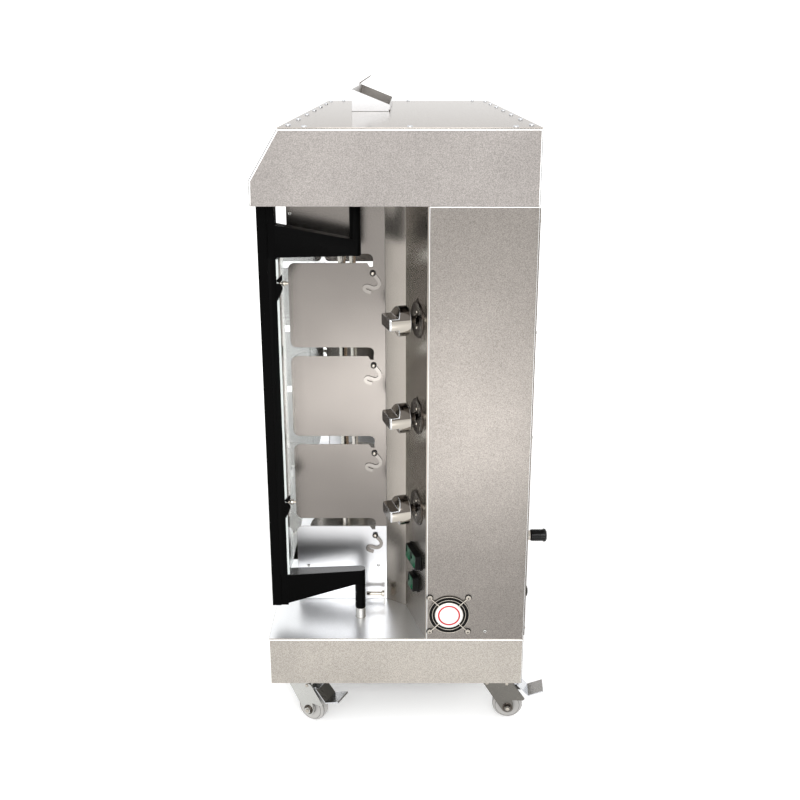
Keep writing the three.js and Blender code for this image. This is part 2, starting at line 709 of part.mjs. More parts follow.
// ---------------------------------------------------------------- hood
const addHood = () => {
  const lipH = 42;
  const slopeX = -190;
  const wallTop = TOP_Z - SHEET - GAP;
  const profile = (inset, low) => [
    [FRONT + inset, low],
    [FRONT + inset, HOOD_Z + lipH - inset * 0.5],
    [slopeX + inset * 0.5, wallTop - inset],
    [BACK - inset, wallTop - inset],
    [BACK - inset, low],
  ];
  const rim = 25;
  const shell = cut(
    prismY(profile(0, HOOD_Z), [-HALF_W, HALF_W]),
    prismY(profile(THICK_SHEET, HOOD_Z - 5), [THICK_SHEET - HALF_W, HALF_W - THICK_SHEET]),
    block([slopeX + rim, BACK - rim], [rim - HALF_W, HALF_W - rim], [wallTop - 10, wallTop + 5]),
  );
  add('hood_shell', shell, brushed());

  const throat = block(
    [FLUE.x[0] + 3, FLUE.x[1] - 3],
    [FLUE.y[0] + 3, FLUE.y[1] - 3],
    [TOP_Z - 10, TOP_Z + 10],
  );
  const plate = block([slopeX, BACK], [-HALF_W, HALF_W], [TOP_Z - SHEET, TOP_Z]);
  add('top_plate', cut(plate, throat), polished());

  const inset = THICK_SHEET + GAP;
  const floorZ = [HOOD_Z, HOOD_Z + THICK_SHEET];
  let floor = block([FRONT + inset, BACK - inset], [inset - HALF_W, HALF_W - inset], floorZ);
  for (const side of SIDES) {
    const y = side.sign * SPIT.y;
    const pivotY = fromSide(side, PIVOT.inset);
    const spitHole = bar(12, [SPIT.x, y, HOOD_Z - 2], [SPIT.x, y, HOOD_Z + 5], 16);
    const exhaust = block([-66, -24], [side.sign * 60, side.sign * 330], [HOOD_Z - 2, HOOD_Z + 5]);
    const pinEnd = -STUB.high - STUB.pinLength;
    const stub = turned(
      [
        [0, pinEnd],
        [STUB.pin, pinEnd],
        [STUB.pin, -STUB.high],
        [STUB.radius, -STUB.high],
        [STUB.radius, 1],
        [0, 1],
      ],
      16,
    );
    floor = join(cut(floor, spitHole, exhaust), stub.translate(PIVOT.x, pivotY, HOOD_Z));
  }
  add('hood_floor', floor, brushed());
};

// open-topped collar round the flue outlet, with a sloping rim, a skirt down into the hood and a bent tab
const addFlue = () => {
  const [x0, x1] = FLUE.x;
  const [y0, y1] = FLUE.y;
  const low = TOP_Z + GAP;
  const rim = [[x0, low], [x1, low], [x1, TOP_Z + FLUE.low], [x0, TOP_Z + FLUE.high]];
  const { step } = FLUE;
  const bore = step + SHEET;
  const skirt = block([x0 + step, x1 - step], [y0 + step, y1 - step], [TOP_Z - FLUE.skirt, low + 1]);
  const collar = cut(
    join(prismY(rim, [y0, y1]), skirt),
    block([x0 + SHEET, x1 - SHEET], [y0 + SHEET, y1 - SHEET], [low + SHEET, TOP_Z + 60]),
    block([x0 + bore, x1 - bore], [y0 + bore, y1 - bore], [TOP_Z - 60, low + 5]),
    block([x1 - SHEET - 1, x1 + 1], [y0 - 1, y0 + 30], [low - 1, low + 3.5]),
  );
  const top = TOP_Z + FLUE.high;
  const tab = prismY(
    [
      [x0, top - 6],
      [x0 + SHEET, top - 6],
      [x0 + SHEET, top + 4],
      [x0 + 27, top + 20.5],
      [x0 + 26, top + 22],
      [x0, top + 5.5],
    ],
    [y1 - 92, y1 - 2],
  );
  add('flue_collar', join(collar, tab), polished());
};

// ---------------------------------------------------------------- doors
// goose-neck frame: a square bar at the front edge and two arms that end in posts
const doorFrameGeometry = (side) => {
  const armT = 28;
  const seamX = BAR_X[0] + 16;
  const upright = cut(
    block(BAR_X, [fromSide(side, BAR_INSET), fromSide(side, BAR_INSET + BAR)], [DECK_Z + 41, HOOD_Z - 4.5]),
    block([seamX, BAR_X[1] + 1], [fromSide(side, BAR_INSET - 1), fromSide(side, BAR_INSET + 2)], [0, TOP_Z]),
  );

  // near and far faces of the arms: they narrow in plan from the bar to the post
  const near = { bar: BAR_INSET + 1, post: PIVOT.inset - PIVOT.radius };
  const far = { bar: near.bar + armT, post: PIVOT.inset + PIVOT.radius };
  const armY = [fromSide(side, near.bar), fromSide(side, far.post)];
  const armEdge = (face, x) => {
    const share = (x - seamX) / (PIVOT.x - seamX);
    return [x, fromSide(side, face.bar + share * (face.post - face.bar))];
  };
  const waste = (face, beyond) =>
    prismZ(
      [
        armEdge(face, seamX - 1),
        armEdge(face, PIVOT.x + 1),
        [PIVOT.x + 1, fromSide(side, beyond)],
        [seamX - 1, fromSide(side, beyond)],
      ],
      [DECK_Z, HOOD_Z],
    );
  const narrowed = (outline) =>
    cut(prismY(outline, armY), waste(near, near.bar - 3), waste(far, far.post + 3));

  const upper = narrowed([
    [seamX, DECK_Z + UPPER_ARM.bottom],
    [PIVOT.x, DECK_Z + UPPER_ARM.bottom],
    [PIVOT.x, DECK_Z + UPPER_ARM.topAtPost],
    [seamX, DECK_Z + UPPER_ARM.topAtBar],
  ]);
  const lower = narrowed([
    [seamX, DECK_Z + LOWER_ARM.bottomAtBar],
    [PIVOT.x, DECK_Z + LOWER_ARM.bottomAtPost],
    [PIVOT.x, DECK_Z + LOWER_ARM.top],
    [seamX, DECK_Z + LOWER_ARM.top],
  ]);

  const postTop = HOOD_Z - STUB.high - GAP;
  const postFoot = DECK_Z + STUB.low + GAP;
  const along = (z) => [PIVOT.x, fromSide(side, PIVOT.inset), z];
  const upperPost = bar(PIVOT.radius, along(DECK_Z + UPPER_ARM.bottom), along(postTop), 16);
  const lowerPost = bar(PIVOT.radius, along(postFoot), along(DECK_Z + LOWER_ARM.top), 16);
  const reach = STUB.pinLength + 1;
  return cut(
    join(upright, upper, lower, upperPost, lowerPost),
    bar(STUB.bore, along(postTop - reach), along(postTop + 1), 16),
    bar(STUB.bore, along(postFoot - 1), along(postFoot + reach), 16),
  );
};

const addDoors = () => {
  for (const side of SIDES) {
    add(`door_frame_${side.name}`, doorFrameGeometry(side), blackPaint());
    const paneX = [BAR_X[1] + GAP, BAR_X[1] + GAP + GLASS_T];
    const paneY = [fromSide(side, BAR_INSET + 1), side.sign * 3];
    const paneZ = [DECK_Z + LOWER_ARM.top + 2, DECK_Z + UPPER_ARM.bottom - 2];
    add(`door_glass_${side.name}`, block(paneX, paneY, paneZ), glass());
  }
};

addPlinth();
addUnderFrame();
addCasters();
addControlPanels();
addSidePanels();
addBackPanel();
addBurnerWall();
addBurners();
addShields();
addSpits();
addGasLine();
addKnobs();
addSwitches();
addFan();
addHood();
addFlue();
addDoors();

export default broiler;
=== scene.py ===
"""Looks of a vertical rotisserie broiler: steel cabinet on casters, goose-neck glass doors, gas knobs."""
import json
import math

import bmesh
import bpy
from mathutils import Matrix, Vector


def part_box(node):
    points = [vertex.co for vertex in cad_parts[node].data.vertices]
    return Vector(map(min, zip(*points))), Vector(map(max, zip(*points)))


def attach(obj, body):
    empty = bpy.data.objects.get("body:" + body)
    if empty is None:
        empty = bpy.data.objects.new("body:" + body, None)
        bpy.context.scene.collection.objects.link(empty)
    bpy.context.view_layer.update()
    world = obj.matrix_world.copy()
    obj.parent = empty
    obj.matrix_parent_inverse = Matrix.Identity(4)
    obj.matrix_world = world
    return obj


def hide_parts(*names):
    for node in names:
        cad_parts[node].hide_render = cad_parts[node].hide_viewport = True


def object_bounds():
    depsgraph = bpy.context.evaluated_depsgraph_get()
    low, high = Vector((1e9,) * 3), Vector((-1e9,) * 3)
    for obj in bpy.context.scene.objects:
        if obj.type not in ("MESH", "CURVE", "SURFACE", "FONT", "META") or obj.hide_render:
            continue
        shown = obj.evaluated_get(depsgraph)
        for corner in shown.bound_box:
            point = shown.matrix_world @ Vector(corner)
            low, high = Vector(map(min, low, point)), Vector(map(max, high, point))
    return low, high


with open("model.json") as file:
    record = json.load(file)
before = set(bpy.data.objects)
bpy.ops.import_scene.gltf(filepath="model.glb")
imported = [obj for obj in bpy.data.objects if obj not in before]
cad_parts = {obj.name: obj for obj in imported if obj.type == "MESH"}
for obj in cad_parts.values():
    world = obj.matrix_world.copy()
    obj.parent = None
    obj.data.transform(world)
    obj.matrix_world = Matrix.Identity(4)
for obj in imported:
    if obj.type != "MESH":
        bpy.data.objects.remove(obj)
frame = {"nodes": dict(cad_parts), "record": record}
cad_low, cad_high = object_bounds()

MM = 0.001
CABINET = "cabinet"
SIDES = {"right": -1, "left": 1}
LEVELS = ("top", "middle", "bottom")
CORNERS = ("front_right", "back_right", "front_left", "back_left")
PANEL_GAP = 0.3 * MM

# planes of the cabinet, read off the frame
hood_low, hood_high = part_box("hood_shell")
panel_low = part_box("side_panel_right")[0]
FRONT, BACK = hood_low.x, hood_high.x
HALF_W = hood_high.y
DECK = panel_low.z - PANEL_GAP
HOOD = hood_low.z
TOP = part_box("top_plate")[1].z
MID_X = (FRONT + BACK) / 2
joints = {j["name"]: j for j in frame["record"]["behaviour"]["joints"]}

X_AXIS = Vector((1, 0, 0))
Z_AXIS = Vector((0, 0, 1))


def spot(x, side, inset, above_deck):
    """A point by millimetres: X from the cabinet's middle, inset from a side face, height above the deck."""
    return Vector((MID_X + x * MM, SIDES[side] * (HALF_W - inset * MM), DECK + above_deck * MM))


def facing(origin, outward, up=Z_AXIS):
    """A frame whose +Z points outward and whose +Y leans to up."""
    z = Vector(outward).normalized()
    x = Vector(up).cross(z).normalized()
    turn = Matrix((x, z.cross(x), z)).transposed().to_4x4()
    return Matrix.Translation(origin) @ turn


def side_face(x, side, inset, above_deck):
    """A frame on a side face of the cabinet, +Z outward and +Y up."""
    return facing(spot(x, side, inset, above_deck), (0, SIDES[side], 0))


# ---------------------------------------------------------------- materials
def new_material(name):
    material = bpy.data.materials.new(name)
    material.use_nodes = True
    nodes = material.node_tree.nodes
    return material, nodes, material.node_tree.links, nodes["Principled BSDF"]


def noise(nodes, links, scale, detail, stretch=(1, 1, 1), rough=0.55):
    """Noise in object space, stretched along the axes; returns its value output."""
    coords = nodes.new("ShaderNodeTexCoord")
    mapping = nodes.new("ShaderNodeMapping")
    mapping.inputs["Scale"].default_value = stretch
    texture = nodes.new("ShaderNodeTexNoise")
    texture.inputs["Scale"].default_value = scale
    texture.inputs["Detail"].default_value = detail
    texture.inputs["Roughness"].default_value = rough
    links.new(coords.outputs["Object"], mapping.inputs["Vector"])
    links.new(mapping.outputs["Vector"], texture.inputs["Vector"])
    return texture.outputs["Fac"]


def ramp(nodes, links, source, low, high, start=0.3, end=0.7):
    """Maps a 0-1 value to a range of colours or greys."""
    node = nodes.new("ShaderNodeValToRGB")
    node.color_ramp.elements[0].position = start
    node.color_ramp.elements[1].position = end
    node.color_ramp.elements[0].color = low
    node.color_ramp.elements[1].color = high
    links.new(source, node.inputs["Fac"])
    return node.outputs["Color"]


def grey(value):
    return (value, value, value, 1)


def shade(color, factor):
    return (color[0] * factor, color[1] * factor, color[2] * factor, 1)


def times(nodes, links, first, second):
    """The product of two colours."""
    node = nodes.new("ShaderNodeMix")
    node.data_type = "RGBA"
    node.blend_type = "MULTIPLY"
    node.inputs["Factor"].default_value = 1.0
    links.new(first, node.inputs["A"])
    links.new(second, node.inputs["B"])
    return node.outputs["Result"]


def bumped(nodes, links, shader, source, strength, distance):
    bump = nodes.new("ShaderNodeBump")
    bump.inputs["Strength"].default_value = strength
    bump.inputs["Distance"].default_value = distance
    links.new(source, bump.inputs["Height"])
    links.new(bump.outputs["Normal"], shader.inputs["Normal"])


# noise cells per metre along X, Y and Z, by the direction the grain lines run in
GRAINS = {"y": (500, 5, 500), "z": (500, 500, 5), "level": (5, 5, 500), None: (90, 90, 90)}
CLOUD_SCALE = 6.0
SPECK_SCALE = 710.0
GRAIN_HEIGHT = 0.12 * MM
PAINT_HEIGHT = 0.1 * MM
PAINT_SPREAD = 0.05


def metal(name, color, rough, grain, depth, cloud, speckle, spread, edge=None):
    """Bare or plated metal: fine speckle and soft clouds in colour, grain lines in gloss and relief.

    depth is the strength of the relief, spread that of the gloss, and edge a tint at grazing angles.
    """
    material, nodes, links, shader = new_material(name)
    shader.inputs["Metallic"].default_value = 1.0
    if edge:
        shader.inputs["Specular Tint"].default_value = (*edge, 1)
    clouds = noise(nodes, links, CLOUD_SCALE, 3.0)
    specks = noise(nodes, links, SPECK_SCALE, 2.0)
    tint = ramp(nodes, links, clouds, shade(color, 1 - cloud), shade(color, 1 + cloud))
    dots = ramp(nodes, links, specks, grey(1 - 2 * speckle), grey(1.0), 0.35, 0.65)
    links.new(times(nodes, links, tint, dots), shader.inputs["Base Color"])
    lines = noise(nodes, links, 1.0, 3.0, GRAINS[grain], 0.6)
    gloss = ramp(nodes, links, lines, grey(rough - spread), grey(rough + spread), 0.25, 0.75)
    links.new(gloss, shader.inputs["Roughness"])
    bumped(nodes, links, shader, lines, depth, GRAIN_HEIGHT)
    return material


def painted(name, color, rough, scale, depth, metallic=0.0, specular=0.5):
    """Paint or moulded plastic with a fine orange-peel or mould texture."""
    material, nodes, links, shader = new_material(name)
    shader.inputs["Metallic"].default_value = metallic
    shader.inputs["Specular IOR Level"].default_value = specular
    patches = noise(nodes, links, 14.0, 4.0)
    tint = ramp(nodes, links, patches, shade(color, 0.85), shade(color, 1.15))
    links.new(tint, shader.inputs["Base Color"])
    gloss = ramp(nodes, links, patches, grey(rough - PAINT_SPREAD), grey(rough + PAINT_SPREAD))
    links.new(gloss, shader.inputs["Roughness"])
    bumped(nodes, links, shader, noise(nodes, links, scale, 2.0), depth, PAINT_HEIGHT)
    return material


GLASS_IOR = 1.45
HOLE_SCALE = 330.0
# painted shade inside the plaque's holes
CERAMIC_HOLE_PAINTED_SHADE = (0.10, 0.05, 0.03, 1)
CERAMIC_PALE = (0.72, 0.55, 0.42, 1)


def glass_material(name, color, rough, weight=1.0):
    material, nodes, links, shader = new_material(name)
    shader.inputs["Transmission Weight"].default_value = weight
    shader.inputs["IOR"].default_value = GLASS_IOR
    streaks = noise(nodes, links, 1.0, 3.0, (60, 60, 9))
    tint = ramp(nodes, links, streaks, shade(color, 0.93), shade(color, 1.0))
    links.new(tint, shader.inputs["Base Color"])
    links.new(ramp(nodes, links, streaks, grey(rough), grey(rough + 0.05)), shader.inputs["Roughness"])
    return material


def plaque_material(name):
    """Perforated ceramic: rows of fine holes over a warm white body, the holes painted dark as painted
    shade.
    """
    material, nodes, links, shader = new_material(name)
    shader.inputs["Roughness"].default_value = 0.85
    coords = nodes.new("ShaderNodeTexCoord")
    cells = nodes.new("ShaderNodeTexVoronoi")
    cells.inputs["Scale"].default_value = HOLE_SCALE
    cells.inputs["Randomness"].default_value = 0.0
    links.new(coords.outputs["Object"], cells.inputs["Vector"])
    distance = cells.outputs["Distance"]
    tint = ramp(nodes, links, distance, CERAMIC_HOLE_PAINTED_SHADE, CERAMIC_PALE, 0.25, 0.42)
    links.new(tint, shader.inputs["Base Color"])
    bumped(nodes, links, shader, distance, 0.8, 0.6 * MM)
    return material


# metal: name, colour, roughness, grain, then relief, clouds, speckle, gloss spread and edge tint
# painted: name, colour, roughness, texture scale, relief, metallic, specular
STEEL = (0.258, 0.237, 0.217)
FINE = (0.06, 0.085, 0.205, 0.02)
ROOF_EDGE = (0.42, 0.39, 0.36)
OUTLINE_EDGE = (0.1, 0.1, 0.1)
TAB_EDGE = (0.3, 0.28, 0.26)
BLACK = (0.003, 0.003, 0.003)
COAT = (0.0012, 0.0012, 0.0012)
MATERIALS = {
    "hood": metal("stainless_hood", (0.355, 0.330, 0.312), 0.30, "level", *FINE),
    "flat_grain": metal("stainless_flat_grain", STEEL, 0.30, "level", *FINE),
    "upright_grain": metal("stainless_upright_grain", STEEL, 0.30, "level", *FINE),
    # painted reflection: the base is a lighter copy of the cabinet steel, standing in for the near floor it
    # reflects
    "base": metal("stainless_base_painted_reflection", (0.50, 0.465, 0.42), 0.32, "level", *FINE),
    "shield": metal("stainless_shield", (0.215, 0.197, 0.181), 0.22, "z", *FINE),
    # painted light for the lowest leaf of each shield
    "mirror": metal("stainless_lowest_leaf_painted_light", (0.62, 0.62, 0.63), 0.30, None, 0.004, 0.03, 0.04, 0.01),
    "clip": metal("stainless_clip", (0.245, 0.228, 0.21), 0.22, None, 0.02, 0.05, 0.04, 0.03),
    "panel": metal("stainless_panel", (0.36, 0.33, 0.295), 0.26, "z", 0.004, 0.05, 0.03, 0.01),
    "roof": metal("stainless_roof", (0.50, 0.46, 0.42), 0.12, "y", 0.01, 0.03, 0.02, 0.01, ROOF_EDGE),
    "polished": metal("stainless_polished", (0.50, 0.475, 0.44), 0.12, "y", 0.03, 0.03, 0.02, 0.03),
    # painted light: the deck's top is a near-white copy of the steel
    "deck": metal("stainless_deck_painted_light", (0.94, 0.955, 0.97), 0.37, "y", 0.03, 0.03, 0.03, 0.04),
    "stub": metal("stainless_stub", (0.46, 0.45, 0.43), 0.22, None, 0.02, 0.03, 0.02, 0.03),
    # painted highlight and painted shade: near-white and near-black copies of the steel for the rounded
    # outer edges
    "rim": metal("stainless_rim_painted_highlight", (0.99, 0.99, 0.98), 0.34, None, 0.02, 0.01, 0.01, 0.04),
    "outline": metal(
        "stainless_outline_painted_shade", (0.045, 0.040, 0.036), 0.40, None, 0.02, 0.05, 0.02, 0.04, OUTLINE_EDGE
    ),
    # painted light on the flue collar: bright outer walls, darker tab and inside
    "flue": metal("stainless_flue_painted_light", (0.80, 0.81, 0.83), 0.20, "y", 0.02, 0.02, 0.02, 0.02),
    "tab": metal("stainless_tab_painted_shade", (0.17, 0.15, 0.135), 0.32, None, 0.05, 0.05, 0.06, 0.03, TAB_EDGE),
    "flue_inside": metal("stainless_flue_inside_painted_shade", (0.30, 0.28, 0.26), 0.30, "y", 0.05, 0.05, 0.12, 0.03),
    "black": painted("powder_coat_black", COAT, 0.30, 700.0, 0.15, 0.0, 0.02),
    # painted sheen for the lower arm's upper face
    "black_painted_sheen": painted("powder_coat_painted_sheen", (0.02, 0.02, 0.02), 0.22, 700.0, 0.1, 0.0, 0.5),
    "chrome": metal("chrome_plate", (0.40, 0.37, 0.325), 0.10, None, 0.01, 0.03, 0.01, 0.02),
    # painted dark reflection of the hood for the knobs' upward faces
    "chrome_painted_dark_reflection": metal("chrome_painted_dark_reflection", (0.13, 0.115, 0.10), 0.12, None, 0.01, 0.05, 0.02, 0.02),
    "dark_chrome": metal("chrome_dark", (0.075, 0.064, 0.055), 0.20, None, 0.03, 0.10, 0.03, 0.03),
    "zinc": metal("zinc_plate", (0.46, 0.46, 0.44), 0.24, None, 0.06, 0.14, 0.04, 0.06),
    # painted shade: a darker copy of the zinc
    "zinc_dark": metal("zinc_painted_shade", (0.15, 0.143, 0.13), 0.30, None, 0.06, 0.16, 0.05, 0.06),
    "zinc_bright": metal("zinc_bright", (0.60, 0.61, 0.63), 0.24, None, 0.05, 0.08, 0.03, 0.05),
    "nylon": painted("nylon_white", (0.36, 0.35, 0.335), 0.42, 300.0, 0.1),
    # painted shade for the caster wheels' broken edges
    "nylon_edge_painted_shade": painted("nylon_edge_painted_shade", (0.16, 0.155, 0.15), 0.45, 300.0, 0.1),
    "plastic": painted("plastic_black", BLACK, 0.36, 1200.0, 0.3, 0.0, 0.08),
    "gloss_black": painted("plastic_gloss_black", BLACK, 0.14, 500.0, 0.05, 0.0, 0.2),
    "green": painted("rocker_green", (0.002, 0.060, 0.024), 0.22, 400.0, 0.02, 0.0, 0.22),
    "burner": metal("burner_steel", (0.34, 0.29, 0.25), 0.45, None, 0.3, 0.2, 0.06, 0.1),
    "plaque": plaque_material("burner_plaque"),
    "cast": painted("motor_cast", (0.12, 0.12, 0.12), 0.55, 250.0, 0.5, 0.6),
    "brass": metal("gas_brass", (0.62, 0.45, 0.20), 0.30, None, 0.1, 0.15, 0.04, 0.08),
    "glass": glass_material("door_glass", (0.96, 0.99, 0.97), 0.0),
    "glass_edge": glass_material("door_glass_edge", (0.90, 0.96, 0.93), 0.30, 0.5),
    "badge": painted("badge_white", (0.66, 0.66, 0.65), 0.30, 300.0, 0.05),
    "badge_red": painted("badge_red", (0.42, 0.003, 0.006), 0.30, 300.0, 0.05),
}


# ---------------------------------------------------------------- mesh helpers
# turns between two neighbouring faces, in degrees
HARD_FROM = 40
BEVEL_FROM = 44
OUTER_FROM = 20
CURVE_FROM = 1
MADE_CURVE_TO = 32
CAD_CURVE_TO = 19
FLAT_WITHIN = 0.6
# which of a piece's materials a face shows
FIRST, SECOND, THIRD, FOURTH = 0, 1, 2, 3


def turn_angle(edge):
    return math.degrees(edge.calc_face_angle(0.0)) if len(edge.link_faces) == 2 else 0.0


def bevel_edges(bm, edges, width, segments, material):
    """Rounds the edges; the new faces are smooth and may take a material of their own."""
    if edges:
        new = bmesh.ops.bevel(
            bm,
            geom=edges,
            offset=width * MM,
            segments=segments,
            profile=0.5,
            affect="EDGES",
            clamp_overlap=True,
        )
        for face in new["faces"]:
            face.smooth = True
            if material is not None:
                face.material_index = material


def shade_curves(bm, most):
    """Curved stretches are shaded smooth, flat faces stay flat."""
    for face in bm.faces:
        face.smooth = any(CURVE_FROM < turn_angle(e) < most for e in face.edges)


def finish_mesh(name, bm, materials):
    """A mesh object with hard edges where the surface turns sharply."""
    for edge in bm.edges:
        edge.smooth = turn_angle(edge) < HARD_FROM
    mesh = bpy.data.meshes.new(name)
    bm.to_mesh(mesh)
    bm.free()
    for key in materials:
        mesh.materials.append(MATERIALS[key])
    piece = bpy.data.objects.new(name, mesh)
    bpy.context.scene.collection.objects.link(piece)
    return piece


def make(name, bm, materials, body, replaces=(), bevel=0.0, segments=2, edge=None):
    """Turns a bmesh into a piece that rides on a body; edge is the material index of its broken edges."""
    bmesh.ops.recalc_face_normals(bm, faces=bm.faces)
    shade_curves(bm, MADE_CURVE_TO)
    if bevel:
        bevel_edges(bm, [e for e in bm.edges if turn_angle(e) > BEVEL_FROM], bevel, segments, edge)
    piece = finish_mesh(name, bm, materials if isinstance(materials, (list, tuple)) else [materials])
    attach(piece, body)
    if replaces:
        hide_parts(*replaces)


def node_mesh(node):
    """A bmesh of a CAD node's solid with its flat faces made whole."""
    bm = bmesh.new()
    bm.from_mesh(frame["nodes"][node].data)
    bmesh.ops.remove_doubles(bm, verts=bm.verts, dist=1e-6)
    bmesh.ops.dissolve_limit(bm, angle_limit=math.radians(FLAT_WITHIN), verts=bm.verts, edges=bm.edges)
    return bm


def body_of(node):
    bodies = frame["record"]["behaviour"]["bodies"]
    return next(body for body, nodes in bodies.items() if node in nodes)


def outer_edges(bm):
    """Edges between two faces that both lie on the hull and don't look down."""
    points = [vert.co.copy() for vert in bm.verts]

    def on_hull(face):
        reach = face.normal.dot(face.verts[0].co) + 0.01 * MM
        return face.normal.z > -0.9 and all(face.normal.dot(point) <= reach for point in points)

    hull = {face for face in bm.faces if on_hull(face)}
    return [e for e in bm.edges if turn_angle(e) > OUTER_FROM and all(face in hull for face in e.link_faces)]


def dress(node, materials, bevel=0.4, segments=2, pick=None, wide=0.0, reshape=None, edge=None, rim=None):
    """A CAD node with broken edges.

    reshape(bm) edits its mesh, pick(face) gives a face's material index, and edge is that of the
    broken edges. wide rounds the outer edges, and rim(face) then gives their material index.
    """
    bm = node_mesh(node)
    if reshape:
        reshape(bm)
    if pick:
        for face in bm.faces:
            face.material_index = pick(face)
    if wide:
        shade_curves(bm, CAD_CURVE_TO)
        bevel_edges(bm, outer_edges(bm), wide, 4, SECOND)
        for face in bm.faces:
            if rim and face.material_index == SECOND:
                face.material_index = rim(face)
        piece = finish_mesh(node + "_shell", bm, materials)
        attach(piece, body_of(node))
        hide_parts(node)
    else:
        make(node + "_shell", bm, materials, body_of(node), [node], bevel, segments, edge)


def circle(radius, sides):
    angles = [2 * math.pi * i / sides for i in range(sides)]
    return [(radius * math.cos(a), radius * math.sin(a)) for a in angles]


def rounded(width, height, radius, steps=4):
    """Outline of a rectangle with rounded corners."""
    outline = []
    for turn, (sx, sy) in enumerate(((1, 1), (-1, 1), (-1, -1), (1, -1))):
        for i in range(steps + 1):
            angle = math.radians(90 * (turn + i / steps))
            x = sx * (width / 2 - radius) + radius * math.cos(angle)
            outline.append((x, sy * (height / 2 - radius) + radius * math.sin(angle)))
    return outline


def skin(bm, loops, place, closed, material):
    """Joins loops of (x, y, z) points; an open stack gets end caps."""
    rings = [[bm.verts.new(place @ (Vector(point) * MM)) for point in loop] for loop in loops]
    if not closed:
        bm.faces.new(rings[0][::-1]).material_index = material
        bm.faces.new(rings[-1]).material_index = material
    following = rings[1:] + rings[:1] if closed else rings[1:]
    for low, high in zip(rings, following):
        for i in range(len(low)):
            j = (i + 1) % len(low)
            bm.faces.new((low[i], low[j], high[j], high[i])).material_index = material


def lathe(bm, profile, place, sides, closed=False, material=0):
    """A body of revolution about the frame's +Z from (radius, height) pairs."""
    loops = [[(x, y, height) for x, y in circle(radius, sides)] for radius, height in profile]
    skin(bm, loops, place, closed, material)


def plate(bm, outline, low, high, place, material=0):
    """An outline in the frame's XY plane, thickened between two heights."""
    skin(bm, [[(x, y, low) for x, y in outline], [(x, y, high) for x, y in outline]], place, False, material)


def hoop(bm, outer, inner, low, high, place, material=0):
    """A flat frame between two outlines with as many points as each other."""
    loops = [(outer, low), (outer, high), (inner, high), (inner, low)]
    skin(bm, [[(x, y, z) for x, y in outline] for outline, z in loops], place, True, material)


def ring(bm, radius, wire, place, sides=64):
    """A wire ring about the frame's +Z."""
    section = [(radius + x, y) for x, y in circle(wire, 10)]
    lathe(bm, section, place, sides, True)


def rod(bm, start, end, radius, sides):
    """A round bar between two points, with broken ends."""
    span = end - start
    up = X_AXIS if abs(span.normalized().x) < 0.9 else Z_AXIS
    length = span.length / MM
    chamfer = radius * 0.2
    profile = [(radius * 0.8, 0), (radius, chamfer), (radius, length - chamfer), (radius * 0.8, length)]
    lathe(bm, profile, facing(start, span, up), sides)


def ribbon(bm, path, width, low, high, place):
    """A flat band that follows a path in the frame's XY plane."""
    points = [Vector(point) for point in path]
    left, right = [], []
    for i, point in enumerate(points):
        along = (points[min(i + 1, len(points) - 1)] - points[max(i - 1, 0)]).normalized()
        across = Vector((-along.y, along.x)) * width / 2
        left.append(tuple(point + across))
        right.append(tuple(point - across))
    loops = [[(*a, low), (*a, high), (*b, high), (*b, low)] for a, b in zip(left, right)]
    skin(bm, loops, place, False, 0)


def pan_screw(bm, place, radius=3.6, height=2.4, head=0, painted_recess_shade=1):
    """A domed head with a dark cross plate set into its top, painted shade standing in for a cross-shaped
    hollow.
    """
    shape = ((1, 0), (1, 0.35), (0.86, 0.75), (0.5, 0.96), (0.12, 1))
    lathe(bm, [(radius * across, height * up) for across, up in shape], place, 24, False, head)
    arm, half = radius * 0.5, radius * 0.13
    cross = [(arm, half), (half, half), (half, arm), (-half, arm), (-half, half), (-arm, half)]
    cross += [(-x, -y) for x, y in cross]
    plate(bm, cross, height * 0.7, height * 1.02, place, painted_recess_shade)


def rivet(bm, place, radius, height, material=0):
    """A low round head."""
    dome = [(radius, 0), (radius * 0.93, height * 0.5), (radius * 0.6, height * 0.9), (radius * 0.1, height)]
    lathe(bm, dome, place, 24, False, material)


def hex_nut(bm, place, across, height, hole=0.0):
    """A nut whose corners are chamfered; with a hole if one is given."""
    corner = across / math.sqrt(3)
    outline = circle(corner, 6)
    chamfer = circle(corner * 0.9, 6)
    loops = [(chamfer, 0), (outline, height * 0.12), (outline, height * 0.88), (chamfer, height)]
    if hole:
        loops += [(circle(hole, 6), height), (circle(hole, 6), 0)]
    skin(bm, [[(x, y, z) for x, y in loop] for loop, z in loops], place, bool(hole), 0)


# ---------------------------------------------------------------- camera, light and floor
# lens and sensor in millimetres, shifts in parts of the sensor, places in metres, pitch in degrees
SENSOR = 36.0
LENS = 42.345
SHIFT_X = -0.00625
SHIFT_Y = -0.0875
CAMERA_BACK = 1.545
CAMERA_ASIDE = 16.9 * MM
CAMERA_ABOVE = 103 * MM
CAMERA_PITCH = 15.96


def add_camera():
    """Square on to the right-hand side and looking slightly down."""
    data = bpy.data.cameras.new("camera")
    data.sensor_width = SENSOR
    data.lens = LENS
    data.shift_x = SHIFT_X
    data.shift_y = SHIFT_Y
    camera = bpy.data.objects.new("camera", data)
    camera.location = (MID_X + CAMERA_ASIDE, -HALF_W - CAMERA_BACK, TOP + CAMERA_ABOVE)
    camera.rotation_euler = (math.radians(90 - CAMERA_PITCH), 0, 0)
    bpy.context.scene.collection.objects.link(camera)
    bpy.context.scene.camera = camera


